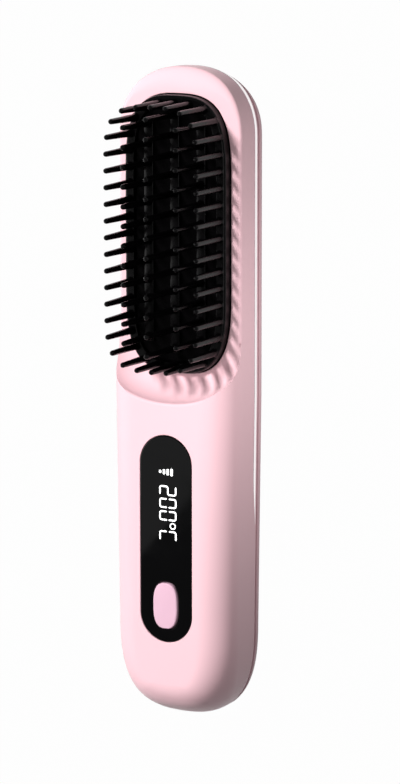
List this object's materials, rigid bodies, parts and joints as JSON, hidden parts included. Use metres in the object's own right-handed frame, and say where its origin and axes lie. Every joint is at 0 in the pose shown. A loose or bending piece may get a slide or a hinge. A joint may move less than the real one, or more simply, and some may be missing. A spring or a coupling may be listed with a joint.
{
  "type": "hair straightening brush",
  "caption": "Rechargeable handheld hair straightening brush with a heated bristle head, display window and push button.",
  "frame": {"origin": "middle of the footprint, on the surface that the brush lies on, back down", "axes": "+Z out of the front face, the way the bristles point; +Y along the length towards the brush head; +X across"},
  "size_m": [0.04, 0.19, 0.0376],
  "materials": {
    "pink_gloss_shell": "pale pink gloss lacquered ABS",
    "pink_button": "pink satin gloss",
    "black_window": "piano black gloss lens",
    "black_nylon": "black nylon, satin",
    "black_coated_aluminium": "black ceramic coat over cast aluminium",
    "alumina": "white fired ceramic",
    "mica": "pressed mica sheet",
    "heatproof_plastic": "glass filled plastic, beige",
    "circuit_board": "green solder mask",
    "white_plastic": "white plastic",
    "steel": "bright zinc plated",
    "cell_foil": "laminate foil",
    "foam": "foam tape",
    "lead_red": "silicone insulation"
  },
  "bodies": {
    "body": {"front_shell": "pink_gloss_shell", "rear_shell": "pink_gloss_shell", "display_window": "black_window", "bristle_frame": "black_nylon", "heater_plate": "black_coated_aluminium", "heated_teeth_left": "black_coated_aluminium", "heated_teeth_middle": "black_coated_aluminium", "heated_teeth_right": "black_coated_aluminium", "heater_element": "alumina", "mica_sheet": "mica", "heater_bracket": "heatproof_plastic", "thermistor": "alumina", "thermal_fuse": "white_plastic", "main_board": "circuit_board", "display_module": "white_plastic", "tact_switch": "steel", "battery_cell": "cell_foil", "battery_pad": "foam", "charging_port": "steel", "charging_board": "circuit_board", "shell_screw_1": "steel", "board_screw_1": "steel", "ring_screw_1": "steel", "shell_screw_2": "steel", "board_screw_2": "steel", "ring_screw_2": "steel", "shell_screw_3": "steel", "board_screw_3": "steel", "ring_screw_3": "steel", "shell_screw_4": "steel", "board_screw_4": "steel", "ring_screw_4": "steel", "plate_screw_1": "steel", "heater_lead_1": "lead_red", "battery_lead_1": "lead_red", "plate_screw_2": "steel", "heater_lead_2": "lead_red", "battery_lead_2": "lead_red"},
    "button": {"power_button": "pink_button"},
    "stem": {"switch_stem": "black_nylon"}
  },
  "joints": [
    {"name": "button_press", "type": "slide", "parent": "body", "child": "button", "axis": [0, 0, -1], "range_m": [0, 0.0004], "stiffness_N_per_m": 2500, "springref_m": -0.0002},
    {"name": "stem_press", "type": "slide", "parent": "body", "child": "stem", "axis": [0, 0, -1], "range_m": [0, 0.0004]}
  ],
  "couplings": [
    {"joint": "stem_press", "follows": "button_press", "ratio": 1}
  ]
}
